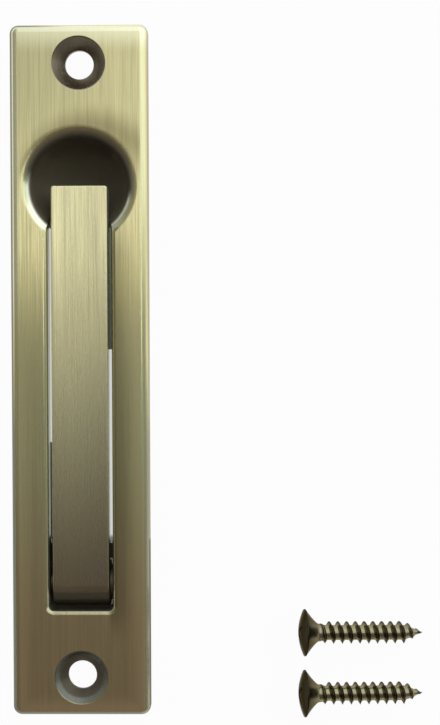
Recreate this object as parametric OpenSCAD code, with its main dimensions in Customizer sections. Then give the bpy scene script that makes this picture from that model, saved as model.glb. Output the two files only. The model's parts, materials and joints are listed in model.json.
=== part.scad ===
// Pocket door edge pull with a sprung pull arm, lying face up beside its two screws.
// The origin is the middle of the plate's back face, half way between the screw holes.
// +Z points out of the door edge, +Y runs towards the finger scoop, and +X is to its right.

/* [Face plate] */
// Length of the plate
plate_l = 125; // [115:0.5:150]
// Width of the plate
plate_w = 25; // [23.5:0.5:32]
// Thickness of the plate
plate_t = 3; // [2.6:0.1:4]
// Radius of the plate's corners, seen from the front
plate_corner_r = 1.6; // [1.5:0.1:4]
// Radius of the softened front edge
plate_edge_r = 1.4; // [0.3:0.05:1.45]

/* [Screw holes] */
// Distance from each end of the plate to its screw hole
hole_inset = 7; // [6:0.25:9]
// Diameter of the screw holes
hole_d = 5.2; // [4.4:0.1:5.4]
// Diameter of the countersinks at the front face
countersink_d = 9.6; // [8.8:0.1:10]
// Radius of the softened rim of each countersink
countersink_rim_r = 0.35; // [0.1:0.05:0.5]

/* [Finger scoop] */
// Distance from the upper end of the plate to the middle of the scoop
scoop_inset = 29; // [25:0.5:40]
// Radius of the scoop's round bowl
scoop_r = 8.9; // [8.4:0.1:10]
// Depth of the scoop below the front face
scoop_depth = 7.7; // [6.5:0.1:8.5]
// Radius of the soft rim round the scoop
scoop_rim_r = 2.4; // [0.6:0.1:2.6]
// Wall of the cup behind the plate
cup_wall = 1.4; // [1:0.1:2]

/* [Arm slot] */
// Gap between the arm and each side of the slot
side_gap = 0.65; // [0.5:0.05:1]
// Gap between the hinge barrel and the end of the slot
end_gap = 0.35; // [0.3:0.05:0.8]
// Radius of the slot's lower corners, seen from the front
slot_corner_r = 0.8; // [0.4:0.1:2]
// Radius of the slot's softened front rim
slot_rim_r = 0.85; // [0.3:0.05:1.2]
// Length of the rest behind the slot, from the middle of the scoop
rest_l = 29.6; // [14:0.2:40]
// Thickness of the rest
rest_t = 1.4; // [1:0.1:2]
// How far the rest runs on behind the plate, past the right side of the slot
rest_lap = 1.5; // [1:0.1:3]
// How far the rest stops short of the left side of the arm
rest_short = 0.5; // [0.2:0.1:3]

/* [Pull arm] */
// Width of the arm
arm_w = 10.2; // [9:0.1:11.4]
// Thickness of the arm
arm_t = 3; // [2.4:0.1:3.4]
// Radius of the corners of the arm's tip, seen from the front
arm_corner_r = 0.5; // [0.4:0.1:2]
// Radius of the arm's softened front edges
arm_edge_r = 0.3; // [0.1:0.05:0.35]
// Radius of the barrel round the hinge
barrel_r = 4.2; // [4:0.1:5]
// Gap between the closed arm and the lip of the cup that stops it
stop_gap = 0.05; // [0.03:0.01:0.2]

/* [Hinge] */
// Distance from the lower end of the plate to the hinge axis
hinge_inset = 23.7; // [22:0.1:30]
// Diameter of the hinge pin
pin_d = 3; // [2:0.1:3.4]
// Clearance of the pin in the arm, on the radius
pin_run = 0.08; // [0.05:0.01:0.2]
// Clearance of the pin in the ears, on the radius
pin_seat = 0.02; // [0.01:0.01:0.05]
// Chamfer at each end of the pin
pin_chamfer = 0.3; // [0.1:0.05:0.6]
// Thickness of each ear of the hinge block behind the plate
ear_t = 3; // [2:0.1:4]
// Metal round the pin in each ear
ear_wall = 3.4; // [2.4:0.1:4]
// Length of the hinge block where it leaves the plate
ear_foot_l = 15.5; // [12:0.5:18]
// Radius of the boss on the right ear that the spring holds the arm against
boss_r = 3.1; // [2.2:0.1:3.3]
// Gap between that boss and the arm
boss_gap = 0.15; // [0.1:0.05:0.3]

/* [Return spring] */
// Diameter of the wire
wire_d = 0.5; // [0.4:0.05:0.65]
// Mean diameter of the coil
coil_d = 5.1; // [4.8:0.1:5.4]
// Turns in the coil
coil_turns = 4.25; // [3:0.25:5]
// Gap between one turn and the next
turn_gap = 0.06; // [0.04:0.01:0.15]
// Room round the coil inside the barrel
coil_room = 0.3; // [0.2:0.05:0.4]
// Length of the leg that lies behind the plate, from the hinge axis
leg_l = 25.8; // [12:0.1:40]
// How far the middle of that leg lies behind the plate, past the side of the slot
leg_cover = 0; // [-0.05:0.05:1]
// Gap between the wire and what it lies against
wire_gap = 0.03; // [0.02:0.01:0.1]
// Gap between the coil's first turn and the ear
coil_gap = 0.15; // [0.1:0.05:0.3]
// Radius of the bends in the wire
wire_bend_r = 0.8; // [0.6:0.05:1.2]
// Length of the end that is hooked into the arm
tang_l = 1.6; // [1:0.1:3]
// Clearance of that end in its hole, on the radius
tang_room = 0.08; // [0.05:0.01:0.15]

/* [Wood screws] */
// Length of the screw below the rim of its head
screw_l = 22.2; // [16:0.2:32]
// Diameter of the head
screw_head_d = 8.6; // [7.5:0.1:9.4]
// Rise of the domed crown above the rim
screw_crown_h = 1; // [0.5:0.1:1.4]
// Height of the rim of the head
screw_rim_h = 0.25; // [0.15:0.05:0.5]
// Diameter over the thread
screw_thread_d = 4.2; // [3.5:0.1:4.8]
// Length of the tapered point
screw_point_l = 3.4; // [2.5:0.1:5]
// Width of each arm of the cross recess
recess_w = 0.9; // [0.7:0.05:1.2]
// Span of the cross recess
recess_span = 4.4; // [3.5:0.1:5]
// Depth of the cross recess
recess_depth = 1.7; // [1.2:0.1:2]
// Distance from the plate's side to the crowns of the screws that lie beside it
screw_beside = 27.1; // [14:0.1:40]
// Distance from the plate's lower end up to the upper screw
screw_row_y = 14.15; // [8:0.05:30]
// Distance from the upper screw down to the lower one
screw_row_pitch = 11.25; // [10:0.05:20]
// Angle at which the screws lie to the plate's width
screw_turn = -1.2; // [-20:0.1:20]

/* [Hidden] */
$fn = 64;

// Steps in a rounded edge, in the arc under the hinge block and in the dome of a screw
edge_steps = 6;
ear_steps = 24;
dome_steps = 8;
// Sides of the wire, steps in each of its bends and steps in each turn of the coil
wire_sides = 8;
bend_steps = 4;
turn_steps = 18;
// Overrun of every cut past the face that it opens
over = 1;

// Places along the plate
hole_y = plate_l / 2 - hole_inset;
scoop_y = plate_l / 2 - scoop_inset;
hinge_y = hinge_inset - plate_l / 2;
hinge_z = plate_t - barrel_r;

// Bowl, its cup and the torus that rounds its rim
bowl_z = plate_t - scoop_depth + scoop_r;
cup_r = scoop_r + cup_wall;
rim_z = plate_t - scoop_rim_r;
rim_r = sqrt(pow(scoop_r + scoop_rim_r, 2) - pow(rim_z - bowl_z, 2));
rim_a = atan2(bowl_z - rim_z, rim_r);

// Slot and the arm in it
slot_w = arm_w + 2 * side_gap;
slot_end_y = hinge_y - barrel_r - end_gap;
slot_l = scoop_y - slot_end_y;
arm_under_z = plate_t - arm_t;
lip_z = arm_under_z - stop_gap;
arm_l = scoop_y - hinge_y;

// Hinge
pin_r = pin_d / 2;
pin_l = slot_w + 2 * ear_t;
ear_r = pin_r + ear_wall;
ear_root_z = plate_t / 2;
block_low_z = hinge_z - ear_r;

// Coil, measured from the hinge axis
wire_r = wire_d / 2;
coil_r = coil_d / 2;
coil_pitch = wire_d + turn_gap;
coil_x = -slot_w / 2 + coil_gap + wire_r;
coil_end_x = coil_x + coil_turns * coil_pitch;
pocket_r = coil_r + wire_r + coil_room;
pocket_end_x = coil_end_x + wire_r + coil_gap;
// Leg: it runs under the plate, steps in past the ear and bends up onto the coil
leg_x = -slot_w / 2 - leg_cover;
leg_z = -wire_r - wire_gap - hinge_z;
leg_in_y = ear_foot_l / 2 + wire_gap;
leg_room_z = -wire_d - 2 * wire_gap;
leg_step_y = leg_in_y + 2 * wire_d;
bend_z = leg_z + wire_bend_r;
bend_y = sqrt(pow(coil_r + wire_bend_r, 2) - bend_z * bend_z);
coil_a = atan2(bend_z, bend_y);
coil_end_a = coil_a + 360 * coil_turns;
// Hooked end: it leaves the coil along its tangent and turns into the arm
tang_bend_r = wire_bend_r * 3 / 4;
tang_from = [coil_end_x, coil_r * cos(coil_end_a), coil_r * sin(coil_end_a)];
tang_along = [0, -sin(coil_end_a), cos(coil_end_a)];
tang_axis = tang_from + tang_bend_r * tang_along;
tang_end_x = coil_end_x + tang_bend_r + tang_l;

// Screws on the surface that the pull lies on
floor_z = min(plate_t - scoop_depth - cup_wall, block_low_z);
head_r = screw_head_d / 2;
thread_r = screw_thread_d / 2;
crown_r = (head_r * head_r + screw_crown_h * screw_crown_h) / (2 * screw_crown_h);
crown_a = asin(head_r / crown_r);
rim_s = screw_crown_h + screw_rim_h;
neck_s = rim_s + head_r - thread_r;
tip_s = screw_crown_h + screw_l;
point_s = tip_s - screw_point_l;
screw_tilt = atan((head_r - thread_r) / (point_s - rim_s));
screw_z = floor_z + rim_s * sin(screw_tilt) + head_r * cos(screw_tilt);

// Points on an arc round c, from angle a0 to angle a1
function arc(c, r, a0, a1, steps) =
    [for (i = [0:steps]) c + r * [cos(a0 + (a1 - a0) * i / steps), sin(a0 + (a1 - a0) * i / steps)]];

// Edge profiles are [distance outwards, height], from the bottom up
function rounded_edge(z0, z1, r) = concat([[0, z0]], arc([-r, z1 - r], r, 0, 90, edge_steps));
function flared_edge(z0, z1, r) =
    concat([[0, z0]], arc([r, z1 - r], r, 180, 90, edge_steps), [[r, z1 + over]]);

// Section of a block from its edge profile, half as wide as half
function section(profile, half) = concat(
    [for (p = profile) [half + p[0], p[1]]],
    [for (i = [len(profile) - 1:-1:0]) [-half - profile[i][0], profile[i][1]]]
);

// Section of a round corner from its edge profile
function corner_section(profile, r) = concat(
    [[0, profile[0][1]]],
    [for (p = profile) [r + p[0], p[1]]],
    [[0, profile[len(profile) - 1][1]]]
);

// Block of w by l with round corners and one edge profile all the way round
module profiled_block(w, l, corner_r, profile) {
    for (sx = [-1, 1], sy = [-1, 1])
        translate([sx * (w / 2 - corner_r), sy * (l / 2 - corner_r), 0])
            rotate_extrude()
                polygon(corner_section(profile, corner_r));
    rotate([90, 0, 0])
        linear_extrude(l - 2 * corner_r, center = true)
            polygon(section(profile, w / 2));
    rotate([90, 0, 90])
        linear_extrude(w - 2 * corner_r, center = true)
            polygon(section(profile, l / 2));
}

// Cylinder along X through the hinge axis, between two places
module on_hinge(r, x0, x1) {
    translate([x0, hinge_y, hinge_z])
        rotate([0, 90, 0])
            cylinder(r = r, h = x1 - x0);
}

// Slot from the scoop's middle to past the barrel, with its front rim softened
module slot_cut(z0) {
    translate([0, slot_end_y + slot_l / 2, 0])
        profiled_block(slot_w, slot_l, slot_corner_r, flared_edge(z0, plate_t, slot_rim_r));
}

// Bowl of the scoop, opening into its soft rim at the face
module bowl_cut() {
    rim_profile = arc([rim_r, rim_z], scoop_rim_r, 180 - rim_a, 90, edge_steps);
    rim_start = 2 * rim_profile[0] - rim_profile[1];
    bowl_low_z = bowl_z - scoop_r;
    translate([0, scoop_y, 0])
        rotate_extrude() {
            intersection() {
                translate([0, bowl_z])
                    circle(scoop_r);
                translate([0, bowl_low_z - over])
                    square([cup_r, plate_t - bowl_low_z + over]);
            }
            polygon(concat(
                [[0, rim_start[1]], rim_start],
                rim_profile,
                [[rim_r, plate_t + over], [0, plate_t + over]]
            ));
        }
}

// Round back of the cup, up to the middle of the plate
module cup_blank() {
    translate([0, scoop_y, 0])
        intersection() {
            translate([0, 0, bowl_z])
                sphere(cup_r);
            translate([0, 0, bowl_z - cup_r - over])
                cylinder(r = cup_r + over, h = plate_t / 2 - bowl_z + cup_r + over);
        }
}

// Rest behind the slot that the closed arm lies on, from the cup towards the hinge
module arm_rest() {
    rest_left_x = rest_short - arm_w / 2;
    rest_right_x = slot_w / 2 + rest_lap;
    translate([rest_left_x, scoop_y - rest_l, lip_z - rest_t])
        cube([rest_right_x - rest_left_x, rest_l, ear_root_z - lip_z + rest_t]);
}

// Block behind the plate that carries the pin: its foot runs tangent into the eye round the pin
module hinge_block() {
    foot = [ear_foot_l / 2, -hinge_z];
    eye_a = atan2(foot[1], foot[0]) - acos(ear_r / norm(foot));
    outline = concat(
        [[-foot[0], ear_root_z - hinge_z], [-foot[0], foot[1]]],
        arc([0, 0], ear_r, 180 - eye_a, 360 + eye_a, ear_steps),
        [[foot[0], foot[1]], [foot[0], ear_root_z - hinge_z]]
    );
    translate([-pin_l / 2, hinge_y, hinge_z])
        rotate([90, 0, 90])
            linear_extrude(pin_l)
                polygon(outline);
}

// Room for the barrel, down through the hinge block, which leaves an ear at each side
module barrel_room() {
    straight_walls = [[0, block_low_z - over], [0, ear_root_z]];
    translate([0, hinge_y, 0])
        profiled_block(slot_w, 2 * (barrel_r + end_gap), slot_corner_r, straight_walls);
}

// Screw hole with its countersink, which runs out to the face over a soft rim
module screw_hole() {
    sink_r = countersink_d / 2;
    sink_rim = [sink_r + countersink_rim_r * (sqrt(2) - 1), plate_t - countersink_rim_r];
    translate([0, 0, -over])
        cylinder(d = hole_d, h = plate_t + 2 * over);
    rotate_extrude()
        polygon(concat(
            [[0, plate_t - sink_r]],
            arc(sink_rim, countersink_rim_r, 135, 90, edge_steps),
            [[sink_rim[0], plate_t + over], [0, plate_t + over]]
        ));
}

// Plate with its hinge block, open where the barrel goes
module hinged_plate() {
    difference() {
        union() {
            profiled_block(plate_w, plate_l, plate_corner_r, rounded_edge(0, plate_t, plate_edge_r));
            hinge_block();
        }
        slot_cut(leg_room_z);
        barrel_room();
    }
}

// Casting: plate and hinge block, cup of the scoop and rest of the arm, with the front cut open
module casting() {
    difference() {
        union() {
            hinged_plate();
            cup_blank();
            arm_rest();
        }
        bowl_cut();
        slot_cut(lip_z);
        for (y = [-hole_y, hole_y])
            translate([0, y, 0])
                screw_hole();
    }
}

// Casting with the boss that centres the arm, bored for the pin
module faceplate() {
    color([0.66, 0.61, 0.44])
        difference() {
            union() {
                casting();
                on_hinge(boss_r, arm_w / 2 + boss_gap, slot_w / 2 + ear_t / 2);
            }
            on_hinge(pin_r + pin_seat, -pin_l / 2 - over, pin_l / 2 + over);
        }
}

// Barrel of the arm, with its end edges softened like those of the arm
module barrel() {
    half = arm_w / 2;
    profile = concat(
        [[0, -half]],
        arc([barrel_r - arm_edge_r, arm_edge_r - half], arm_edge_r, 270, 360, edge_steps),
        arc([barrel_r - arm_edge_r, half - arm_edge_r], arm_edge_r, 0, 90, edge_steps),
        [[0, half]]
    );
    translate([0, hinge_y, hinge_z])
        rotate([0, 90, 0])
            rotate_extrude()
                polygon(profile);
}

// Flat of the arm, from the hinge axis to its tip
module arm_flat() {
    profile = rounded_edge(arm_under_z, plate_t, arm_edge_r);
    intersection() {
        translate([0, hinge_y, 0])
            profiled_block(arm_w, 2 * arm_l, arm_corner_r, profile);
        translate([-arm_w, hinge_y, arm_under_z - over])
            cube([2 * arm_w, arm_l + over, arm_t + 2 * over]);
    }
}

// Room for the coil: a round pocket under the face, open below the arm
module coil_pocket() {
    on_hinge(pocket_r, -arm_w / 2 - over, pocket_end_x);
    translate([-arm_w / 2 - over, hinge_y - barrel_r - over, hinge_z - barrel_r - over])
        cube([
            pocket_end_x + arm_w / 2 + over,
            2 * (barrel_r + over),
            arm_under_z - hinge_z + barrel_r + over
        ]);
}

// Arm with its barrel, the pin's bore, the coil's pocket and the hole for its hooked end
module pull_arm() {
    color([0.74, 0.7, 0.52])
        difference() {
            union() {
                arm_flat();
                barrel();
            }
            on_hinge(pin_r + pin_run, -arm_w / 2 - over, arm_w / 2 + over);
            coil_pocket();
            translate([pocket_end_x - over, hinge_y + tang_axis[1], hinge_z + tang_axis[2]])
                rotate([0, 90, 0])
                    cylinder(r = wire_r + tang_room, h = tang_end_x + tang_room - pocket_end_x + over);
        }
}

// Pin through both ears and the arm
module hinge_pin() {
    profile = [
        [0, -pin_l / 2],
        [pin_r - pin_chamfer, -pin_l / 2],
        [pin_r, pin_chamfer - pin_l / 2],
        [pin_r, pin_l / 2 - pin_chamfer],
        [pin_r - pin_chamfer, pin_l / 2],
        [0, pin_l / 2]
    ];
    color([0.55, 0.48, 0.32])
        translate([0, hinge_y, hinge_z])
            rotate([0, 90, 0])
                rotate_extrude()
                    polygon(profile);
}

// Stations along the wire, each [place from the hinge axis, direction, sideways direction]
function leg_stations() = let (slant = [leg_x - coil_x, leg_step_y - leg_in_y, 0])
    let (step_way = [0, -1, 0] - slant / norm(slant))
    [for (s = [
        [leg_x, leg_l, [0, -1, 0]],
        [leg_x, leg_step_y, step_way / norm(step_way)],
        [coil_x, leg_in_y, step_way / norm(step_way)],
        [coil_x, bend_y, [0, -1, 0]]
    ]) [[s[0], s[1], leg_z], s[2], [0, 0, 1]]];
function bend_stations() = [for (i = [1:bend_steps - 1])
    let (a = 270 + (coil_a - 90) * i / bend_steps)
    [
        [coil_x, bend_y + wire_bend_r * cos(a), bend_z + wire_bend_r * sin(a)],
        [0, sin(a), -cos(a)],
        [0, -cos(a), -sin(a)]
    ]];
function coil_stations() = let (steps = ceil(coil_turns * turn_steps))
    let (slope = coil_pitch / (PI * coil_d))
    [for (i = [0:steps])
        let (a = coil_a + 360 * coil_turns * i / steps)
        let (way = [slope, -sin(a), cos(a)])
        [
            [coil_x + coil_pitch * coil_turns * i / steps, coil_r * cos(a), coil_r * sin(a)],
            way / norm(way),
            [0, cos(a), sin(a)]
        ]];
function tang_stations() = let (side = [0, cos(coil_end_a), sin(coil_end_a)])
    concat(
        [for (i = [1:bend_steps])
            let (b = 90 * i / bend_steps)
            [
                tang_from + tang_bend_r * (sin(b) * tang_along + [1 - cos(b), 0, 0]),
                cos(b) * tang_along + [sin(b), 0, 0],
                side
            ]],
        [[[tang_end_x, tang_axis[1], tang_axis[2]], [1, 0, 0], side]]
    );

// Torsion spring: leg, coil and hooked end in one piece of wire
module return_spring() {
    stations = concat(leg_stations(), bend_stations(), coil_stations(), tang_stations());
    rings = len(stations);
    points = [for (s = stations, j = [0:wire_sides - 1])
        let (a = 360 * j / wire_sides)
        s[0] + wire_r * (cos(a) * s[2] + sin(a) * cross(s[1], s[2]))];
    walls = [for (k = [0:rings - 2], j = [0:wire_sides - 1])
        let (n = (j + 1) % wire_sides, a = k * wire_sides, b = a + wire_sides)
        [a + j, b + j, b + n, a + n]];
    first_end = [for (j = [0:wire_sides - 1]) j];
    last_end = [for (j = [wire_sides - 1:-1:0]) (rings - 1) * wire_sides + j];
    color([0.5, 0.47, 0.4])
        translate([0, hinge_y, hinge_z])
            polyhedron(points, concat([first_end], walls, [last_end]));
}

// One screw along +Z from its crown: raised countersunk head, body over the thread, point
module wood_screw() {
    profile = concat(
        arc([0, crown_r], crown_r, -90, crown_a - 90, dome_steps),
        [[head_r, rim_s], [thread_r, neck_s], [thread_r, point_s], [0, tip_s]]
    );
    difference() {
        rotate_extrude()
            polygon(profile);
        for (turn = [45, 135])
            rotate([0, 0, turn])
                translate([-recess_span / 2, -recess_w / 2, -over])
                    cube([recess_span, recess_w, recess_depth + over]);
    }
}

// The two screws, each lying on the rim of its head and the start of its point
module wood_screws() {
    color([0.7, 0.66, 0.5])
        for (row = [0, 1])
            translate([
                plate_w / 2 + screw_beside,
                screw_row_y - plate_l / 2 - row * screw_row_pitch,
                screw_z
            ])
                rotate([0, 90 + screw_tilt, screw_turn])
                    wood_screw();
}

faceplate();
pull_arm();
hinge_pin();
return_spring();
wood_screws();
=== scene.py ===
"""Looks of a pocket door edge pull: brushed antique brass, a wound return spring and two threaded wood screws."""

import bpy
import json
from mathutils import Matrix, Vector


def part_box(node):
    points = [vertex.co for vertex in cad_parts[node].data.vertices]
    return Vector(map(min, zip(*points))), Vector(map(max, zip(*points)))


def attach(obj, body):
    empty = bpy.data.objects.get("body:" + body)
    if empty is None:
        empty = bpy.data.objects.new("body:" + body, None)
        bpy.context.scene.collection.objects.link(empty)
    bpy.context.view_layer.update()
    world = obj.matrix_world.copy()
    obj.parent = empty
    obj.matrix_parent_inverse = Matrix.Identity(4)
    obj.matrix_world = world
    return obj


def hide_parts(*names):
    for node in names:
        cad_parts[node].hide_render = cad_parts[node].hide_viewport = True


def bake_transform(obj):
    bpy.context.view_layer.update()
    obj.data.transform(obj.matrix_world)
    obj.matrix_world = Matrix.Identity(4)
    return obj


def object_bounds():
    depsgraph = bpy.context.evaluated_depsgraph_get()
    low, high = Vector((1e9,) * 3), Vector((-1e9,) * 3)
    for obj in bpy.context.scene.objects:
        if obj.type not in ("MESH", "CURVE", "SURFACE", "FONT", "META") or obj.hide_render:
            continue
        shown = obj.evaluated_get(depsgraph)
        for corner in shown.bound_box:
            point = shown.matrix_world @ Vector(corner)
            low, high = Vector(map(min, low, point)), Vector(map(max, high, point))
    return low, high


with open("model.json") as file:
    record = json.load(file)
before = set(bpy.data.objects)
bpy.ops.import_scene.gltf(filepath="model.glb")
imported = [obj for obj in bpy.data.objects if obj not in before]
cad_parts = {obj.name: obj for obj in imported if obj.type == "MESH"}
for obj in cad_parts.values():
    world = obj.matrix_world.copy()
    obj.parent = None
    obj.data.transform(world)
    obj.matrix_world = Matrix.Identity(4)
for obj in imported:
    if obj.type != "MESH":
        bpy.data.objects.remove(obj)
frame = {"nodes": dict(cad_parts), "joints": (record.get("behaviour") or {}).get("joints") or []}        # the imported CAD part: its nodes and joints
CAD_BOX = [list(corner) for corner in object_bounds()]

import json
import math
from functools import reduce

import bmesh
import bpy
import numpy as np
from bpy.props import FloatProperty, FloatVectorProperty, IntProperty, PointerProperty
from bpy.types import Operator, Panel, PropertyGroup

bl_info = {
    "name": "Pocket Door Edge Pull",
    "version": (1, 0, 0),
    "blender": (4, 5, 0),
    "location": "View3D > Sidebar > Edge Pull",
    "description": "Dresses a pocket door edge pull in brushed antique brass and sets its stage",
    "category": "Object",
}

MM = 0.001
MICRON = 1e-6
WHITE = (1.0, 1.0, 1.0, 1.0)


def mm(*lengths):
    """Lengths given in millimetres, in metres."""
    return tuple(length * MM for length in lengths)


def length_mm(least, most, default):
    """Settings of a length property, from its limits and default in millimetres."""
    least, most, default = mm(least, most, default)
    return {"unit": "LENGTH", "min": least, "max": most, "default": default}


# Settings that several properties share
COLOUR = {"subtype": "COLOR", "min": 0, "max": 1}
LIGHT = {"subtype": "COLOR", "min": 0, "max": 3}
FACTOR = {"subtype": "FACTOR", "min": 0, "max": 1}

# Places that the frame gives
PLATE_LOW, PLATE_HIGH = (np.array(corner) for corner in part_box("faceplate"))
SPRING_LOW, SPRING_HIGH = (np.array(corner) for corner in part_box("return_spring"))
HINGE = np.array(frame["joints"][0]["pos_m"], float)
PLATE_HALF_W, PLATE_END_Y, FACE_Z = (float(length) for length in PLATE_HIGH)
HINGE_Y = float(HINGE[1])
SCOOP_Y = float(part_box("pull_arm")[1][1])
FLOOR_Z = CAD_BOX[0][2]

# Screw holes, hinge block and slot
HOLE_Y = PLATE_END_Y - 7 * MM
BLOCK_Y = HINGE_Y + 7.75 * MM
BLOCK_END_Y = HINGE_Y - 7.75 * MM
BLOCK_HALF_W = 8.75 * MM
SLOT_END_Y = HINGE_Y - 4.55 * MM
SLOT_HALF_W = 5.75 * MM

# Merging and shading of the copied solids
MERGE = 1 * MICRON
SHARP_ANGLE = math.radians(32)
PLANE_TURN = 1e-4
PLANE_SHIFT = 1 * MICRON

# Brush marks, and how far dulling takes the mirror away and tints the rest
BRUSH_MAP = "brushing"
BROAD_STREAK = 3.5
FINE_DETAIL = 3.0
BROAD_DETAIL = 2.0
STREAK_ROUGHNESS = 0.6
FINE_SHARE = 0.6
MARK_RANGE = (0.3, 0.7)
MARK_SHADES = (0.84, 1.1)
MARK_POLISH = -0.1
STREAK_RELIEF = 4 * MICRON
MATT_SHARE = 1.4
TINT_GAIN = 2.7
DULL_TINT = (0.3, 0.25, 0.18, 1.0)

# Covers of the plate, each from where it starts to where it is full: along X and Y, past the outline, below the face
# (drops) and from the middle of a hole
LOWER_Y = mm(15, -15)
RIGHT_EDGE_X = mm(10.5, 11.5)
LEFT_EDGE_X = mm(-10.9, -11.3)
LEFT_EDGE_Y = mm(0, 20)
LEFT_HALF_X = mm(0, -10)
PLATE_TOP_Y = (PLATE_END_Y - 5.5 * MM, PLATE_END_Y - 0.8 * MM)
EDGE_PAST = mm(-4.5, -0.5)
OUTER_PAST = mm(-1.6, -1.2)
EARLY_DROP = mm(0.04, 0.28)
LEFT_DROP = mm(0.18, 0.53)
LATE_DROP = mm(0.5, 0.85)
SLOT_DROP = mm(0.1, 0.6)
BESIDE_SLOT_X = (SLOT_HALF_W + 0.1 * MM, SLOT_HALF_W + 0.4 * MM)
SLOT_RIM_Y = (SLOT_END_Y + 2 * MM, SLOT_END_Y + 0.3 * MM)
SLOT_RIM_DROP = mm(0.0005, 0.012)
BLOCK_START_Y = (BLOCK_Y + 1 * MM, BLOCK_Y)
BLOCK_DROP = mm(0.6, 1.1)
BACK_Z = mm(0.4, 0)
BELOW_Z = mm(0.35, 0.1)
HOLE_PATINA = mm(4.95, 4.75)
UPPER_HOLE_Y = mm(0, 50)
RAIL_IN_X = mm(5, 5.7)
RAIL_OUT_X = mm(10.5, 6)
RAIL_TOP_Y = mm(30, 20)
RAIL_END_Y = mm(-50, -42)

# Covers of the scoop, by distance from its middle and by how far a point lies to its dark upper side: painted shade
# there, and a painted highlight on the lower left lip
UPWARD = (0.2, 0.98)
UPPER_SIDE = mm(-1.5, 1.5)
LIP_SIDE = mm(-3, -7)
HALO_SIDE = mm(-2, 9)
SCOOP_PATINA = mm(9.4, 8.8)
UPPER_SHADE = mm(10.55, 8.55)
RIM_SHADE = mm(8.2, 9.2)
LIP_HIGHLIGHT = mm(10.4, 10)
HALO_X = 2.4 * MM
HALO_SHADE = mm(15.5, 10.5)
HALO_CORE = mm(12, 10.3)
HALO_RIM = mm(10.2, 10.65)

# Covers of the arm and the pin
ARM_FACE_Y = mm(8, -50)
ARM_RIGHT_X = mm(-3, 5)
ARM_SIDE_DROP = mm(0.15, 0.7)
BARREL_DROP = mm(0.1, 0.8)
ROOT_Y = (HINGE_Y + 1 * MM, HINGE_Y - 1 * MM)
ROOT_DROP = mm(0.02, 0.3)
PIN_X = mm(0, 9)

# Strength of the covers, and how much they dull the metal
EDGE_HIGHLIGHT_SHARE = 0.85
EDGE_HIGHLIGHT_GAIN = 1.3
RIGHT_SHARE = 0.7
RIGHT_EASE = -0.4
WORN_HIGHLIGHT_SHARE = 0.9
LATE_SHARE = 0.55
SLOT_RIM_SHARE = 0.36
HAZE_SHARE = 0.6
HALO_RIM_SHARE = 0.15
RAIL_SHARE = 0.55
ARM_FACE_SHARE = 0.85
ARM_RIGHT_SHADE = 0.22
PIN_SHARE = 0.4
PIN_END_SHARE = 0.3
THIN_DULL = 0.05
UNDER_DULL = 0.1
SIDE_DULL = 0.12
HINGE_DULL = 0.25
SCOOP_DULL = 0.36

# Spring wire
WIRE_GAP = 0.03 * MM
WIRE_CHAMFER = 0.08 * MM
LEG_STEPS = 12
BEND_STEPS = 13
RUN_STEPS = 4
TURN_STEPS = 56
HOOK_STEPS = 10
TANG_STEPS = 5
WIRE_GRAIN = 3000.0
WIRE_DETAIL = 3.0
WIRE_SHADES = (0.7, 1.25)
WIRE_ROUGHNESS = (0.25, 0.15)
WIRE_RELIEF = 1 * MICRON

# Screw surface
SCREW_NAMES = ("wood_screw_upper", "wood_screw_lower")
DULL_ATTRIBUTE = "dull"
CROWN_STEP = 0.06 * MM
CROWN_RINGS = 42
RIM_ROUND = 0.12 * MM
RIM_ROOM = 0.004 * MM
RIM_RINGS = 9
RECESS_WALL = 0.16 * MM
RECESS_SLOPE = 0.5
NECK_R = 1.62 * MM
FLARE_L = 2.35 * MM
FLARE_POWER = 1.25
FLARE_RINGS = 18
FLARE_DULL = (0.85, -0.6)
RUN_IN = 1.6 * MM
THREAD_PHASE = 0.3
POINT_LEAD = 0.6 * MM
BODY_STEP = 0.08 * MM
CORE_SHARE = 0.9
CREST_ROOM = 0.01 * MM
RIDGE_HALF = 0.3
RIDGE_POWER = 1.2
SCREW_GRAIN = 900.0
SCREW_DETAIL = 4.0
BRIGHT_SHADES = (0.8, 1.15)
DARK_SHADES = (0.7, 1.2)
SCREW_ROUGHNESS = (0.18, 0.1)
SCREW_RELIEF = 3 * MICRON

# Camera, round floor and the shade under the slot
SENSOR_W = 36
CLIP_START = 0.01
FLOOR_START = 0.05
FLOOR_RINGS = 8
FLOOR_SIDES = 48
SHADE_X = (BLOCK_HALF_W + 2 * MM, BLOCK_HALF_W - 2 * MM)
SHADE_TOP_Y = (SCOOP_Y + 4 * MM, SCOOP_Y)
SHADE_END_Y = (BLOCK_END_Y - 4 * MM, BLOCK_END_Y)
SHADE_BLOCK_Y = (BLOCK_Y + 0.5 * MM, BLOCK_Y - 0.5 * MM)

# Where the overhead light and the horizon change, as parts of a direction
SLANT = 0.13
SLANT_END_X = -0.04
AMBER_Y = (0.084, 0.056)
STEP_Y = (0.063, 0.034)
FAR_Y = (-0.06, -0.2)
SKY_X = (-0.3, 0.05)
LEFT_X = (-0.13, -0.45)
RIGHT_X = (0.0, 0.35)
TOP_Y = (0.2, 0.5)
HIGH_Z = (0.12, 0.4)
NEAR_Y = (0.0, -0.5)
NEAR_Z = (0.02, 0.08)
NEAR_GREY = (0.55, 0.55, 0.55, 1.0)
LAMP_WAY = (-0.155, 0.083)
LAMP_SPREAD = 0.085
RIGHT_LAMP_WAY = (0.13, 0.03)
RIGHT_LAMP_SPREAD = 0.085


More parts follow.
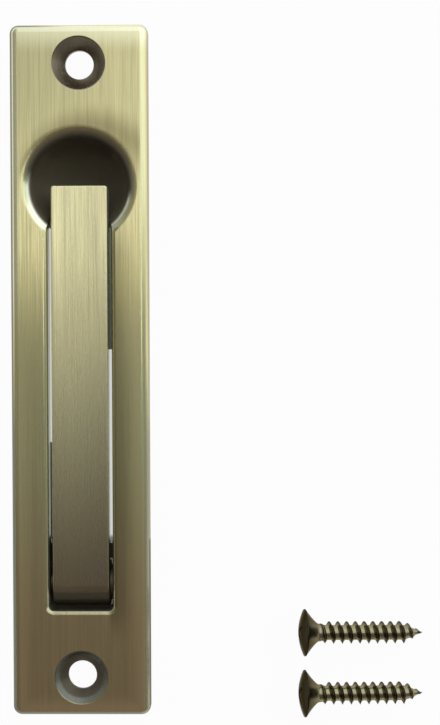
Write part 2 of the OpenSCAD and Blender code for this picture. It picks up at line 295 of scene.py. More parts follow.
class BrassFinish(PropertyGroup):
    """Colours and brushing of the antique brass."""

    relieved: FloatVectorProperty(
        name="Relieved Brass",
        description="Colour where the brush has cut through the patina",
        **COLOUR, default=(0.68, 0.615, 0.336),
    )
    # Pale worn brass, also laid as a painted highlight on the top end, the upper left edge and the scoop's lower left
    # lip
    worn: FloatVectorProperty(
        name="Worn Brass",
        description="Pale colour of the edges at the scoop end, which hands have worn bright",
        **COLOUR, default=(0.98, 0.94, 0.62),
    )
    arm_relieved: FloatVectorProperty(
        name="Relieved Arm",
        description="Colour of the arm, which is handled and so a little brighter than the plate",
        **COLOUR, default=(0.92, 0.84, 0.50),
    )
    # Also carried past the scoop's rim on its upper side as painted shade
    patina: FloatVectorProperty(
        name="Patina",
        description="Brown-black patina that stays in the scoop and round the hinge",
        **COLOUR, default=(0.132, 0.112, 0.074),
    )
    # Painted shade: the darkest colour, laid on the upper half of the scoop's rim
    rim_shade: FloatVectorProperty(
        name="Rim Patina",
        description="Darkest patina, on the upper half of the scoop's rim",
        **COLOUR, default=(0.043, 0.034, 0.020),
    )
    # Painted shade that fades out above the scoop, and a darker brown band to the right of the slot
    brown_darkening: FloatVectorProperty(
        name="Brown Patina",
        description="Brown patina that shades off above the scoop and to the right of the slot",
        **COLOUR, default=(0.186, 0.146, 0.062),
    )
    # Also laid as painted shade on the arm's right side
    arm_patina: FloatVectorProperty(
        name="Arm Patina",
        description="Brown patina in the upper countersink and on the arm towards the hinge",
        **COLOUR, default=(0.222, 0.186, 0.126),
    )
    slot_patina: FloatVectorProperty(
        name="Slot Patina",
        description="Thin green-grey patina on the slot's walls, its rest and the sides of the arm",
        **COLOUR, default=(0.78, 0.78, 0.62),
    )
    olive_patina: FloatVectorProperty(
        name="Olive Patina",
        description="Thicker green-grey patina in the lower countersink, on the pin and on the backs",
        **COLOUR, default=(0.174, 0.180, 0.142),
    )
    # Patina on the sides, deepened as painted shade on the lower and left sides
    side_patina_and_shade: FloatVectorProperty(
        name="Side Patina",
        description="Patina on the upright sides of the plate",
        **COLOUR, default=(0.232, 0.230, 0.175),
    )
    roughness: FloatProperty(
        name="Roughness",
        description="Roughness of the brushed face",
        **FACTOR, default=0.19,
    )
    arm_roughness: FloatProperty(
        name="Arm Roughness",
        description="Roughness of the arm's face, which is brushed more coarsely",
        **FACTOR, default=0.26,
    )
    brushing: FloatProperty(
        name="Brushing",
        description="How far the brush marks stretch a highlight across the plate",
        **FACTOR, default=0.75,
    )
    streak_width: FloatProperty(
        name="Streak Width",
        description="Width of a brush mark",
        **length_mm(0.05, 1, 0.3),
    )
    streak_length: FloatProperty(
        name="Streak Length",
        description="Length of a brush mark",
        **length_mm(2, 60, 16),
    )


class SpringSizes(PropertyGroup):
    """Sizes of the wound return spring."""

    colour: FloatVectorProperty(
        name="Wire Colour",
        description="Colour of the spring wire",
        **COLOUR, default=(0.20, 0.195, 0.165),
    )
    wire_d: FloatProperty(
        name="Wire Diameter",
        description="Diameter of the wire",
        **length_mm(0.3, 0.7, 0.5),
    )
    coil_d: FloatProperty(
        name="Coil Diameter",
        description="Mean diameter of the coil",
        **length_mm(4.6, 5.4, 5.1),
    )
    turns: FloatProperty(
        name="Turns",
        description="Turns in the coil",
        min=3, max=5, default=4.25,
    )
    turn_gap: FloatProperty(
        name="Turn Gap",
        description="Gap between one turn and the next",
        **length_mm(0.02, 0.2, 0.06),
    )
    step_in: FloatProperty(
        name="Step In",
        description="How far the leg steps in from behind the plate to the coil",
        **length_mm(0.2, 1, 0.4),
    )
    step_y: FloatProperty(
        name="Step Place",
        description="Distance from the hinge axis to the side step of the leg",
        **length_mm(4, 12, 7.78),
    )
    bend_r: FloatProperty(
        name="Bend Radius",
        description="Radius of the bend from the leg to the coil",
        **length_mm(0.5, 1.2, 0.8),
    )
    hook_r: FloatProperty(
        name="Hook Radius",
        description="Radius of the bend into the arm",
        **length_mm(0.4, 1, 0.6),
    )
    sides: IntProperty(
        name="Wire Sides",
        description="Facets round the wire",
        min=8, max=32, default=16,
    )


class ScrewSizes(PropertyGroup):
    """Sizes and places of the raised countersunk wood screws."""

    colour: FloatVectorProperty(
        name="Screw Brass",
        description="Colour of the plated screws where they are bright",
        **COLOUR, default=(0.336, 0.30, 0.174),
    )
    # On the crests of the thread this dark colour is painted shade
    dull_colour: FloatVectorProperty(
        name="Screw Patina",
        description="Dark patina on the heads and on the crests of the thread",
        **COLOUR, default=(0.041, 0.036, 0.025),
    )
    edge_tint: FloatVectorProperty(
        name="Screw Edge Tint",
        description="Tint of the plating where it turns away from the eye",
        **COLOUR, default=(0.46, 0.44, 0.40),
    )
    head_d: FloatProperty(
        name="Head Diameter",
        description="Diameter of the head",
        **length_mm(7, 9.4, 8.6),
    )
    crown_h: FloatProperty(
        name="Crown Height",
        description="Rise of the domed crown above the rim",
        **length_mm(0.5, 1.4, 1),
    )
    rim_h: FloatProperty(
        name="Rim Height",
        description="Height of the rim of the head",
        **length_mm(0.1, 0.5, 0.25),
    )
    length: FloatProperty(
        name="Length",
        description="Length below the rim of the head",
        **length_mm(16, 32, 22.2),
    )
    thread_d: FloatProperty(
        name="Thread Diameter",
        description="Diameter over the thread",
        **length_mm(3.5, 4.8, 4.2),
    )
    root_d: FloatProperty(
        name="Root Diameter",
        description="Diameter between the turns of the thread",
        **length_mm(2, 3.4, 2.7),
    )
    pitch: FloatProperty(
        name="Thread Pitch",
        description="Distance from one turn of the thread to the next",
        **length_mm(1, 2.5, 1.646),
    )
    point_l: FloatProperty(
        name="Point Length",
        description="Length of the tapered point",
        **length_mm(2.5, 5, 3.4),
    )
    recess_w: FloatProperty(
        name="Recess Width",
        description="Width of each wing of the cross recess",
        **length_mm(0.6, 1.2, 0.9),
    )
    recess_span: FloatProperty(
        name="Recess Span",
        description="Span of the cross recess",
        **length_mm(3.5, 5, 4.4),
    )
    recess_depth: FloatProperty(
        name="Recess Depth",
        description="Depth of the cross recess at its middle",
        **length_mm(1, 2, 1.7),
    )
    beside: FloatProperty(
        name="Beside the Plate",
        description="Distance from the plate's side to the crowns of the screws",
        **length_mm(14, 40, 27.1),
    )
    row_y: FloatProperty(
        name="Row Place",
        description="Distance from the plate's lower end up to the upper screw",
        **length_mm(8, 30, 14.15),
    )
    row_pitch: FloatProperty(
        name="Row Pitch",
        description="Distance from the upper screw down to the lower one",
        **length_mm(10, 20, 11.25),
    )
    turn: FloatProperty(
        name="Turn",
        description="Angle at which the screws lie to the plate's width",
        subtype="ANGLE", min=-0.35, max=0.35, default=math.radians(-1.2),
    )
    sides: IntProperty(
        name="Sides",
        description="Facets round a screw",
        min=48, max=160, default=120,
    )


class StageSettings(PropertyGroup):
    """Camera, floor and soft light."""

    camera_place: FloatVectorProperty(
        name="Camera Place",
        description="Place of the lens, above and to the right of the plate",
        subtype="XYZ", unit="LENGTH", default=(0.02949, 0.00599, 0.25806),
    )
    camera_turn: FloatVectorProperty(
        name="Camera Turn",
        description="Small tilts of the camera from looking straight down",
        subtype="EULER", unit="ROTATION",
        default=(math.radians(-1.014), math.radians(0.927), math.radians(-0.216)),
    )
    lens: FloatProperty(
        name="Lens",
        description="Focal length for a 36 mm long side, in millimetres",
        min=20, max=200, default=70.3,
    )
    floor_size: FloatProperty(
        name="Floor Size",
        description="Width of the round floor",
        unit="LENGTH", min=1, max=60, default=30,
    )
    floor_colour: FloatVectorProperty(
        name="Floor Colour",
        description="Colour of the pale floor",
        **COLOUR, default=(1.0, 1.0, 1.0),
    )
    floor_glow: FloatProperty(
        name="Floor Glow",
        description="Share of the floor's white that doesn't take shadow",
        **FACTOR, default=0.96,
    )
    slot_shade: FloatProperty(
        name="Slot Shade",
        description="Share of that white that is lost under the slot",
        **FACTOR, default=0.42,
    )
    left_sky: FloatVectorProperty(
        name="Left Sky",
        description="Light overhead towards the scoop end, at the left",
        **LIGHT, default=(0.39, 0.405, 0.395),
    )
    right_sky: FloatVectorProperty(
        name="Right Sky",
        description="Light overhead towards the scoop end, at the right",
        **LIGHT, default=(1.11, 1.135, 1.11),
    )
    amber: FloatVectorProperty(
        name="Amber Edge",
        description="Warm light at the edge of the dark flag",
        **LIGHT, default=(0.60, 0.575, 0.383),
    )
    near_flag: FloatVectorProperty(
        name="Near Flag",
        description="Dark flag overhead, where it starts",
        **LIGHT, default=(0.267, 0.282, 0.271),
    )
    far_flag: FloatVectorProperty(
        name="Far Flag",
        description="Dark flag overhead, warm towards the hinge end",
        **LIGHT, default=(0.197, 0.157, 0.15),
    )
    left_gain: FloatProperty(
        name="Left Gain",
        description="Share of the light overhead that is left at its far left",
        **FACTOR, default=0.7,
    )
    right_gain: FloatVectorProperty(
        name="Right Gain",
        description="Cool gain of the light overhead towards the right",
        **LIGHT, default=(1.0, 1.12, 1.24),
    )
    top_gain: FloatVectorProperty(
        name="Top Gain",
        description="Cool gain of the light overhead beyond the scoop end",
        **LIGHT, default=(1.2, 1.25, 1.4),
    )
    lamp_level: FloatProperty(
        name="Lamp Level",
        description="Brightness that a small soft lamp overhead adds, to the left",
        min=0, max=6, default=1.3,
    )
    right_lamp_level: FloatProperty(
        name="Right Lamp Level",
        description="Brightness that a small soft lamp overhead adds, over the screws",
        min=0, max=6, default=3.5,
    )


def shader(tree, kind, inputs=None, **settings):
    """One shader node: settings are its own properties, inputs are values or the outputs that feed it."""
    node = tree.nodes.new(kind)
    for name, value in settings.items():
        setattr(node, name, value)
    for key, value in (inputs or {}).items():
        if isinstance(value, bpy.types.NodeSocket):
            tree.links.new(value, node.inputs[key])
        else:
            node.inputs[key].default_value = value
    return node


def ramp(tree, value, start, end):
    """Smooth step of a value, from 0 at start to 1 at end."""
    sockets = {"Value": value, "From Min": start, "From Max": end}
    return shader(tree, "ShaderNodeMapRange", sockets, interpolation_type="SMOOTHSTEP").outputs[0]


def calc(tree, operation, first, second=0.0, third=0.0):
    """One arithmetic step on up to three values."""
    return shader(tree, "ShaderNodeMath", {0: first, 1: second, 2: third}, operation=operation).outputs[0]


def product(tree, *values):
    """Product of two or more values."""
    return reduce(lambda first, second: calc(tree, "MULTIPLY", first, second), values)


def largest(tree, *values):
    """Largest of two or more values."""
    return reduce(lambda first, second: calc(tree, "MAXIMUM", first, second), values)


def reach(tree, first, second):
    """Length of two distances at right angles."""
    return calc(tree, "SQRT", calc(tree, "ADD", product(tree, first, first), product(tree, second, second)))


def sunk(tree, z, drops):
    """Smooth step of a height, between two depths below the plate's face."""
    return ramp(tree, z, FACE_Z - drops[0], FACE_Z - drops[1])


def mixed(tree, factor, first, second):
    """Colour that goes from the first to the second as the factor goes from 0 to 1."""
    return shader(tree, "ShaderNodeMix", {0: factor, 6: first, 7: second}, data_type="RGBA").outputs[2]


def shade_of(colour, level=1.0):
    """Opaque colour at a share of its brightness."""
    return (*(channel * level for channel in colour), 1.0)


def varied(tree, factor, colour, shades):
    """Colour that goes from one share of its brightness to another as the factor goes from 0 to 1."""
    return mixed(tree, factor, *(shade_of(colour, level) for level in shades))


def new_material(name):
    """Empty node material with its tree and its Object coordinates."""
    material = bpy.data.materials.new(name)
    material.use_nodes = True
    tree = material.node_tree
    tree.nodes.clear()
    return material, tree, shader(tree, "ShaderNodeTexCoord").outputs["Object"]


def axes_of(tree, place):
    """X, Y and Z of a place or a direction."""
    return shader(tree, "ShaderNodeSeparateXYZ", {0: place}).outputs


def mottling(tree, place, scale, detail):
    """Even noise of one scale."""
    return shader(tree, "ShaderNodeTexNoise", {"Vector": place, "Scale": scale, "Detail": detail}).outputs["Fac"]


def finish_metal(tree, colour, roughness, height, relief, others):
    """Metal surface from its colour, roughness and height; others are values for more of the shader's sockets."""
    bump = shader(tree, "ShaderNodeBump", {"Strength": 1.0, "Distance": relief, "Height": height})
    sockets = {"Base Color": colour, "Roughness": roughness, "Normal": bump.outputs[0], "Metallic": 1.0}
    metal = shader(tree, "ShaderNodeBsdfPrincipled", {**sockets, **others})
    shader(tree, "ShaderNodeOutputMaterial", {"Surface": metal.outputs[0]})


def streaks(tree, place, width, length, detail):
    """Noise drawn out along Y: marks of one width across the plate and one length along it."""
    across = 1 / width
    drawn = shader(tree, "ShaderNodeMapping", {"Vector": place, "Scale": (across, 1 / length, across)})
    noise = {"Vector": drawn.outputs[0], "Scale": 1.0, "Detail": detail, "Roughness": STREAK_ROUGHNESS}
    return shader(tree, "ShaderNodeTexNoise", noise).outputs["Fac"]


def brushed_brass(name, finish, relieved, roughness, covers):
    """Brass brushed along Y, with patina and painted light laid over it: covers gives each one's factor, colour and
    dulling.
    """
    material, tree, place = new_material(name)
    width, length = finish.streak_width, finish.streak_length
    fine = streaks(tree, place, width, length, FINE_DETAIL)
    broad = streaks(tree, place, BROAD_STREAK * width, BROAD_STREAK * length, BROAD_DETAIL)
    both = calc(tree, "ADD", product(tree, fine, FINE_SHARE), product(tree, broad, 1 - FINE_SHARE))
    mark = ramp(tree, both, *MARK_RANGE)
    colour = varied(tree, mark, relieved, MARK_SHADES)
    dull = 0.0
    for factor, patina, dulling in covers(tree, axes_of(tree, place), finish):
        colour = mixed(tree, factor, colour, shade_of(patina))
        dull = largest(tree, dull, product(tree, factor, dulling))
    polish = product(tree, calc(tree, "SUBTRACT", mark, 0.5), MARK_POLISH)
    rough = calc(tree, "ADD", calc(tree, "ADD", roughness, polish), dull)
    tangent = shader(tree, "ShaderNodeTangent", direction_type="UV_MAP", uv_map=BRUSH_MAP)
    finish_metal(tree, colour, rough, fine, STREAK_RELIEF, {
        "Metallic": calc(tree, "MULTIPLY_ADD", dull, -MATT_SHARE, 1.0),
        "Specular Tint": mixed(tree, product(tree, dull, TINT_GAIN), WHITE, DULL_TINT),
        "Anisotropic": finish.brushing,
        "Tangent": tangent.outputs[0],
    })
    return material


def plate_covers(tree, axes, finish):
    """Patina of the plate: thin in the slot, thick behind and black in the scoop. Its pale worn top end and upper left
    edge, its lower and right edges and the scoop's lower left lip carry a painted highlight; its lower and left sides,
    the scoop's upper rim and the face above the scoop carry painted shade; a darker brown band lies to the right of
    the slot.
    """
    x, y, z = axes
    out_x, out_y = calc(tree, "ABSOLUTE", x), calc(tree, "ABSOLUTE", y)
    past = largest(tree, calc(tree, "SUBTRACT", out_x, PLATE_HALF_W), calc(tree, "SUBTRACT", out_y, PLATE_END_Y))
    outer = ramp(tree, past, *OUTER_PAST)
    inner = calc(tree, "SUBTRACT", 1.0, outer)
    # Painted highlight: brass near the outline is brighter in the lower half (lower) and along the right edge (right)
    lower = ramp(tree, y, *LOWER_Y)
    right = product(tree, ramp(tree, x, *RIGHT_EDGE_X), RIGHT_SHARE)
    edge = product(tree, largest(tree, lower, right), ramp(tree, past, *EDGE_PAST))
    # Painted highlight: the top end and the upper left edge take the pale worn colour
    handled = largest(tree, ramp(tree, y, *PLATE_TOP_Y),
                      product(tree, ramp(tree, y, *LEFT_EDGE_Y), ramp(tree, x, *LEFT_EDGE_X)))
    # Patina on the upright sides, deepened as painted shade in the lower half and the left half, and less on the right
    early = product(tree, calc(tree, "MULTIPLY_ADD", right, RIGHT_EASE, lower), sunk(tree, z, EARLY_DROP))
    left = product(tree, ramp(tree, x, *LEFT_HALF_X), sunk(tree, z, LEFT_DROP))
    late = product(tree, sunk(tree, z, LATE_DROP), LATE_SHARE)
    side = product(tree, outer, largest(tree, early, left, late))

    slot = product(tree, inner, sunk(tree, z, SLOT_DROP))
    behind = product(tree, ramp(tree, out_x, *BESIDE_SLOT_X), ramp(tree, z, *BACK_Z))
    below = ramp(tree, z, *BELOW_Z)
    hinge = product(tree, ramp(tree, y, *BLOCK_START_Y), sunk(tree, z, BLOCK_DROP))
    hole = ramp(tree, reach(tree, x, calc(tree, "SUBTRACT", out_y, HOLE_Y)), *HOLE_PATINA)
    slot_rim = product(tree, inner, ramp(tree, y, *SLOT_RIM_Y), sunk(tree, z, SLOT_RIM_DROP), SLOT_RIM_SHARE)
    olive = largest(tree, behind, below, slot_rim, hole)

    up = calc(tree, "SUBTRACT", y, SCOOP_Y)
    from_scoop = reach(tree, x, up)
    # Painted shade above the scoop, centred a little right of its middle
    from_halo = reach(tree, calc(tree, "SUBTRACT", x, HALO_X), up)
    haze = product(tree, ramp(tree, from_halo, *HALO_SHADE), HAZE_SHARE)
    level = calc(tree, "MULTIPLY_ADD", ramp(tree, from_scoop, *HALO_RIM), 1 - HALO_RIM_SHARE, HALO_RIM_SHARE)
    halo = product(tree, level, ramp(tree, up, *HALO_SIDE), largest(tree, haze, ramp(tree, from_scoop, *HALO_CORE)))
    # Darker brown band to the right of the slot
    rail = product(tree, ramp(tree, x, *RAIL_IN_X), ramp(tree, x, *RAIL_OUT_X),
                   ramp(tree, y, *RAIL_TOP_Y), ramp(tree, y, *RAIL_END_Y), RAIL_SHARE)
    brown = product(tree, inner, largest(tree, halo, rail))
    upward = calc(tree, "ADD", product(tree, x, UPWARD[0]), product(tree, up, UPWARD[1]))
    # Painted shade: on the scoop's upper side the dark reaches further out, and is darkest near the rim
    upper = product(tree, ramp(tree, upward, *UPPER_SIDE), ramp(tree, from_scoop, *UPPER_SHADE))
    scoop = largest(tree, upper, ramp(tree, from_scoop, *SCOOP_PATINA))
    # Painted highlight on the scoop's lower left lip, the side that faces the bright light
    lip_highlight = product(tree, ramp(tree, upward, *LIP_SIDE), ramp(tree, from_scoop, *LIP_HIGHLIGHT))
    return (
        (product(tree, edge, EDGE_HIGHLIGHT_SHARE), [EDGE_HIGHLIGHT_GAIN * channel for channel in finish.relieved], 0.0),
        (product(tree, largest(tree, handled, lip_highlight), WORN_HIGHLIGHT_SHARE), finish.worn, 0.0),
        (brown, finish.brown_darkening, 0.0),
        (slot, finish.slot_patina, THIN_DULL),
        (olive, finish.olive_patina, THIN_DULL),
        (product(tree, hole, ramp(tree, y, *UPPER_HOLE_Y)), finish.arm_patina, THIN_DULL),
        (hinge, finish.patina, HINGE_DULL),
        (scoop, finish.patina, SCOOP_DULL),
        (product(tree, upper, ramp(tree, from_scoop, *RIM_SHADE)), finish.rim_shade, SCOOP_DULL),
        (side, finish.side_patina_and_shade, SIDE_DULL),
    )


def arm_covers(tree, axes, finish):
    """Patina of the arm: thin on its sides, thick under it and round the barrel, and brown towards the hinge, with
    painted shade on its right side.
    """
    x, y, z = axes
    barrel = product(tree, ramp(tree, y, *BLOCK_START_Y), sunk(tree, z, BARREL_DROP))
    root = product(tree, ramp(tree, y, *ROOT_Y), sunk(tree, z, ROOT_DROP))
    return (
        (product(tree, ramp(tree, y, *ARM_FACE_Y), ARM_FACE_SHARE), finish.arm_patina, 0.0),
        # Painted shade: the arm's right side is darker
        (product(tree, ramp(tree, x, *ARM_RIGHT_X), ARM_RIGHT_SHADE), finish.arm_patina, 0.0),
        (sunk(tree, z, ARM_SIDE_DROP), finish.slot_patina, THIN_DULL),
        (largest(tree, ramp(tree, z, *BACK_Z), barrel), finish.olive_patina, UNDER_DULL),
        (root, finish.patina, HINGE_DULL),
    )


def pin_covers(tree, axes, finish):
    """Patina of the pin: dulled all over, a little more towards its ends."""
    ends = ramp(tree, calc(tree, "ABSOLUTE", axes[0]), *PIN_X)
    return ((calc(tree, "MULTIPLY_ADD", ends, PIN_END_SHARE, PIN_SHARE), finish.olive_patina, SIDE_DULL),)


def spring_steel(sizes):
    """Drawn spring wire: dark grey with fine mottling."""
    material, tree, place = new_material("spring_steel")
    grain = mottling(tree, place, WIRE_GRAIN, WIRE_DETAIL)
    least, more = WIRE_ROUGHNESS
    rough = calc(tree, "MULTIPLY_ADD", grain, more, least)
    finish_metal(tree, varied(tree, grain, sizes.colour, WIRE_SHADES), rough, grain, WIRE_RELIEF, {})
    return material


def screw_brass(sizes):
    """Antique plating on the screws: bright on the core, dark patina on the head and painted shade on the crests of
    the thread, with fine mottling.
    """
    material, tree, place = new_material("screw_brass")
    grain = mottling(tree, place, SCREW_GRAIN, SCREW_DETAIL)
    patina_and_shade = shader(tree, "ShaderNodeAttribute", attribute_name=DULL_ATTRIBUTE).outputs["Fac"]
    bright = varied(tree, grain, sizes.colour, BRIGHT_SHADES)
    dark = varied(tree, grain, sizes.dull_colour, DARK_SHADES)
    least, more = SCREW_ROUGHNESS
    rough = calc(tree, "MULTIPLY_ADD", grain, more, least)
    finish_metal(tree, mixed(tree, patina_and_shade, bright, dark), rough, grain, SCREW_RELIEF,
                 {"Specular Tint": shade_of(sizes.edge_tint)})
    return material


def smooth_step(value, start, end):
    """Cubic step of an array, from 0 at start to 1 at end."""
    share = np.clip((value - start) / (end - start), 0, 1)
    return share * share * (3 - 2 * share)


def ring_quads(rows, columns):
    """Quads that join each ring of points to the next."""
    column = np.arange(columns)
    starts = columns * np.arange(rows - 1)[:, None]
    here, beside = starts + column, starts + np.roll(column, -1)
    return np.stack([here, beside, beside + columns, here + columns], axis=-1).reshape(-1, 4)


def closed_tube(name, rings, first_pole, last_pole):
    """Mesh of rings of points, each joined to the next by quads, and closed at each end by a fan to one pole."""
    rows, columns = rings.shape[:2]
    column = np.arange(columns)
    after = np.roll(column, -1)
    first = np.full(columns, rows * columns)
    last_row = (rows - 1) * columns
    walls = ring_quads(rows, columns)
    start_fan = np.stack([first, after, column], axis=-1)
    end_fan = np.stack([last_row + column, last_row + after, first + 1], axis=-1)
    points = np.vstack([rings.reshape(-1, 3), first_pole, last_pole])
    mesh = bpy.data.meshes.new(name)
    mesh.from_pydata(points.tolist(), [], [*walls.tolist(), *start_fan.tolist(), *end_fan.tolist()])
    mesh.shade_smooth()
    return mesh


def place_piece(name, mesh, material):
    """Object at the origin that shows a mesh in one material."""
    mesh.materials.clear()
    mesh.materials.append(material)
    piece = bpy.data.objects.new(name, mesh)
    bpy.context.scene.collection.objects.link(piece)
    return piece


def read_all(items, name, width, kind):
    """One property of all items of a mesh: an array with a row for each, or a flat one where the width is 1."""
    values = np.empty(width * len(items), kind)
    items.foreach_get(name, values)
    return values.reshape(-1, width) if width > 1 else values


def map_brushing(mesh):
    """Brush map: each triangle is laid flat along its steepest axis, with U across the brush marks."""
    vertex = read_all(mesh.loops, "vertex_index", 1, np.int32)
    normals = read_all(mesh.polygons, "normal", 3, np.float32)
    steepest = np.repeat(np.abs(normals).argmax(1), 3)
    x, y, z = read_all(mesh.vertices, "co", 3, np.float32)[vertex].T
    across = np.where(steepest == 0, z, x)
    along = np.where(steepest == 1, z, y)
    layer = mesh.uv_layers.new(name=BRUSH_MAP)
    layer.uv.foreach_set("vector", np.stack([across, along], axis=-1).ravel())


def flat_true_normals(mesh):
    """Corner normals that keep flat faces flat: a mean over the faces round a corner's vertex.

    It takes the faces within SHARP_ANGLE of the corner's own, each weighted by its angle at the vertex times the
    area of all the triangles that lie in its plane.
    """
    corners = len(mesh.loops)
    vertex = read_all(mesh.loops, "vertex_index", 1, np.int32)
    triangles = read_all(mesh.vertices, "co", 3, float)[vertex].reshape(-1, 3, 3)
    normals = read_all(mesh.polygons, "normal", 3, float)
    areas = read_all(mesh.polygons, "area", 1, float)

    offsets = (triangles.mean(1) * normals).sum(1)
    planes = np.column_stack([np.rint(normals / PLANE_TURN), np.rint(offsets / PLANE_SHIFT)])
    plane = np.unique(planes, axis=0, return_inverse=True)[1].ravel()
    region = np.bincount(plane, areas)[plane]
    ahead = np.roll(triangles, -1, axis=1) - triangles
    back = np.roll(triangles, 1, axis=1) - triangles
    turn = np.linalg.norm(np.cross(ahead, back), axis=2)
    angle = np.arctan2(turn, (ahead * back).sum(2))
    weighted = (normals * region[:, None])[:, None] * angle[:, :, None]

    order = np.argsort(vertex, kind="stable")
    count = np.bincount(vertex)
    first = np.cumsum(count) - count
    pairs = count[vertex[order]]
    mine = np.repeat(order, pairs)
    step = np.arange(len(mine)) - np.repeat(np.cumsum(pairs) - pairs, pairs)
    other = order[first[vertex[mine]] + step]
    alike = (normals[mine // 3] * normals[other // 3]).sum(1) > math.cos(SHARP_ANGLE)
    mine, other = mine[alike], other[alike]
    added = weighted.reshape(-1, 3)[other]
    mean = np.stack([np.bincount(mine, added[:, axis], corners) for axis in range(3)], axis=-1)
    return mean / np.linalg.norm(mean, axis=1, keepdims=True)


def dressed_node(node, body, material):
    """Smooth copy of a CAD node: its loose triangles are merged, and edges past SHARP_ANGLE stay crisp."""
    mesh = frame["nodes"][node].data.copy()
    mesh.name = node + "_dressed"
    joined = bmesh.new()
    joined.from_mesh(mesh)
    bmesh.ops.remove_doubles(joined, verts=joined.verts, dist=MERGE)
    bmesh.ops.dissolve_degenerate(joined, dist=MERGE, edges=joined.edges)
    bmesh.ops.triangulate(joined, faces=joined.faces)
    joined.to_mesh(mesh)
    joined.free()
    mesh.shade_smooth()
    map_brushing(mesh)
    mesh.normals_split_custom_set(flat_true_normals(mesh).tolist())
    piece = place_piece(node + "_dressed", mesh, material)
    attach(piece, body)
    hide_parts(node)


def spring_path(sizes):
    """Middle line of the wire, its sideways direction and its radius, measured from the hinge.

    The leg runs straight towards the hinge and steps in on half a cosine wave. It bends on an arc that touches
    the coil, winds the coil as a helix about the hinge axis, and turns on a quarter arc along the axis into the arm.
    """
    wire_r, coil_r = sizes.wire_d / 2, sizes.coil_d / 2
    pitch = sizes.wire_d + sizes.turn_gap
    leg_x = SPRING_LOW[0] + wire_r
    leg_y = SPRING_HIGH[1] - HINGE[1]
    leg_z = -wire_r - WIRE_GAP - HINGE[2]
    coil_x = leg_x + sizes.step_in
    bend_z = leg_z + sizes.bend_r
    bend_y = math.sqrt((coil_r + sizes.bend_r) ** 2 - bend_z ** 2)
    start = math.atan2(bend_z, bend_y)
    end = start + 2 * math.pi * sizes.turns
    step_end = sizes.step_y + 2 * sizes.wire_d

    leg = np.concatenate([[leg_y], np.linspace(leg_y - WIRE_CHAMFER, step_end, LEG_STEPS)])
    step = np.linspace(0, 1, BEND_STEPS)[1:]
    run = np.linspace(sizes.step_y, bend_y, RUN_STEPS)[1:]
    bend = np.linspace(1.5 * math.pi, math.pi + start, BEND_STEPS)[1:]
    coil = np.linspace(start, end, int(sizes.turns * TURN_STEPS))[1:]
    hook = np.linspace(0, math.pi / 2, HOOK_STEPS)[1:]
    hook_x = coil_x + sizes.turns * pitch
    tang = np.linspace(hook_x + sizes.hook_r, SPRING_HIGH[0] - WIRE_CHAMFER, TANG_STEPS)[1:]
    tang = np.append(tang, SPRING_HIGH[0])

    step_x = leg_x + sizes.step_in * (1 - np.cos(math.pi * step)) / 2
    step_y = step_end + (sizes.step_y - step_end) * step
    hook_from = np.array([hook_x, coil_r * math.cos(end), coil_r * math.sin(end)])
    hook_way = np.array([0, -math.sin(end), math.cos(end)])
    hook_axis = hook_from + sizes.hook_r * hook_way
    line = np.vstack([
        np.stack(np.broadcast_arrays(leg_x, leg, leg_z), axis=-1),
        np.stack(np.broadcast_arrays(step_x, step_y, leg_z), axis=-1),
        np.stack(np.broadcast_arrays(coil_x, run, leg_z), axis=-1),
        np.stack(np.broadcast_arrays(coil_x, bend_y + sizes.bend_r * np.cos(bend),
                                     bend_z + sizes.bend_r * np.sin(bend)), axis=-1),
        np.stack([coil_x + pitch * (coil - start) / (2 * math.pi),
                  coil_r * np.cos(coil), coil_r * np.sin(coil)], axis=-1),
        hook_from + sizes.hook_r * (np.sin(hook)[:, None] * hook_way
                                    + (1 - np.cos(hook))[:, None] * np.array([1, 0, 0])),
        np.stack(np.broadcast_arrays(tang, hook_axis[1], hook_axis[2]), axis=-1),
    ])
    facing = np.concatenate([
        np.full(len(leg) + len(step) + len(run), math.pi / 2), bend - math.pi,
        coil, np.full(len(hook) + len(tang), end),
    ])
    side = np.stack([np.zeros_like(facing), np.cos(facing), np.sin(facing)], axis=-1)
    radius = np.full(len(line), wire_r)
    radius[[0, -1]] = wire_r - WIRE_CHAMFER
    return line, side, radius


def swept_wire(name, line, side, radius, sides):
    """Round wire: a circle carried along a line, square to it, with its first point towards the sideways direction."""
    way = np.gradient(line, axis=0)
    way /= np.linalg.norm(way, axis=1, keepdims=True)
    side = side - way * (side * way).sum(1, keepdims=True)
    side /= np.linalg.norm(side, axis=1, keepdims=True)
    third = np.cross(way, side)
    angle = np.linspace(0, 2 * math.pi, sides, endpoint=False)[None, :, None]
    circle = np.cos(angle) * side[:, None] + np.sin(angle) * third[:, None]
    rings = line[:, None] + radius[:, None, None] * circle
    return closed_tube(name, rings, line[0], line[-1])


def cross_recess(sizes, across, up):
    """Depth of the cross recess: two crossed wings that slope up from the middle and end in steep walls."""
    half_w, half_span = sizes.recess_w / 2, sizes.recess_span / 2
    first = np.abs(across + up) / math.sqrt(2)
    second = np.abs(across - up) / math.sqrt(2)

    def wing(along, beside):
        wall = 1 - smooth_step(beside, half_w - RECESS_WALL, half_w)
        end = 1 - smooth_step(along, half_span - RECESS_WALL, half_span)
        return wall * end * (1 - RECESS_SLOPE * along / half_span)

    return sizes.recess_depth * np.maximum(wing(first, second), wing(second, first))


